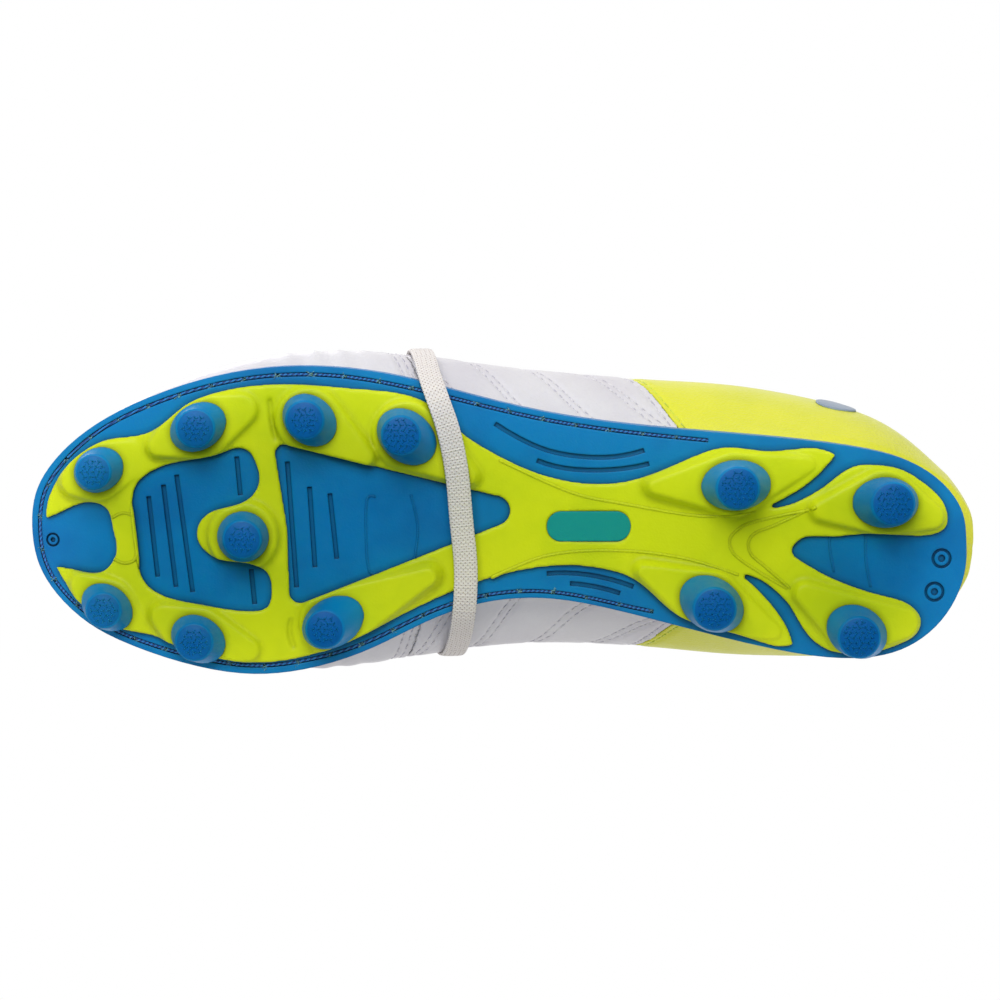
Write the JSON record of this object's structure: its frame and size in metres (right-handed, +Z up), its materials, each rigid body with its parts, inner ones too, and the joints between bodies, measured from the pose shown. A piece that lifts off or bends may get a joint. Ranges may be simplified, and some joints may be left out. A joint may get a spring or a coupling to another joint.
{
  "type": "soccer cleat",
  "caption": "Left firm-ground soccer cleat with a moulded two-layer studded sole, leather upper, lacing, tongue and sockliner.",
  "frame": {"origin": "centre of the boot's footprint on the ground it stands on", "axes": "+Z up, toe towards -X, heel towards +X, inner (medial) side towards +Y"},
  "size_m": [0.2796, 0.0986, 0.1077],
  "materials": {
    "plate_blue": "moulded satin TPU",
    "web_lime": "moulded satin TPU",
    "badge": "smooth inlay",
    "thread_blue": "twisted thread",
    "board": "fibre board",
    "sockliner": "brushed textile over foam",
    "white_upper": "fine grained synthetic leather",
    "lime_upper": "fine grained synthetic leather",
    "patch": "smooth synthetic leather",
    "stiffener": "thermoplastic sheet",
    "foam": "soft foam",
    "lining": "knit lining",
    "lace": "flat woven lace"
  },
  "bodies": {
    "boot": {"outsole_plate": "plate_blue", "sole_web": "web_lime", "arch_badge": "badge", "sole_stitching": "thread_blue", "lasting_board": "board", "vamp": "white_upper", "quarter_lateral": "white_upper", "quarter_medial": "white_upper", "heel_panel_lateral": "lime_upper", "heel_panel_medial": "lime_upper", "heel_patch": "patch", "toe_puff": "stiffener", "vamp_backing": "foam", "heel_counter": "stiffener", "collar_foam": "foam", "vamp_lining": "lining", "heel_lining": "lining", "eyestay_lateral": "white_upper", "eyestay_medial": "white_upper", "lacing": "lace", "lace_wrap": "lace", "lace_knot": "lace", "stud_toe_lateral": "plate_blue", "stud_front_lateral": "plate_blue", "stud_ball_lateral": "plate_blue", "stud_rear_lateral": "plate_blue", "stud_centre": "plate_blue", "stud_toe_medial": "plate_blue", "stud_front_medial": "plate_blue", "stud_ball_medial": "plate_blue", "stud_heel_front_lateral": "plate_blue", "stud_heel_front_medial": "plate_blue", "stud_heel_rear_lateral": "plate_blue", "stud_heel_rear_medial": "plate_blue"},
    "tongue": {"tongue_face": "white_upper", "tongue_padding": "foam"},
    "sockliner": {"sockliner": "sockliner"}
  },
  "joints": [
    {"name": "tongue_hinge", "type": "hinge", "parent": "boot", "child": "tongue", "pos_m": [-0.04527, 0.00519, 0.057], "axis": [0, 1, 0], "range_deg": [0, 10]},
    {"name": "sockliner_lift", "type": "hinge", "parent": "boot", "child": "sockliner", "pos_m": [-0.13177, 0.00519, 0.0244], "axis": [0, -1, 0], "range_deg": [0, 4]}
  ]
}
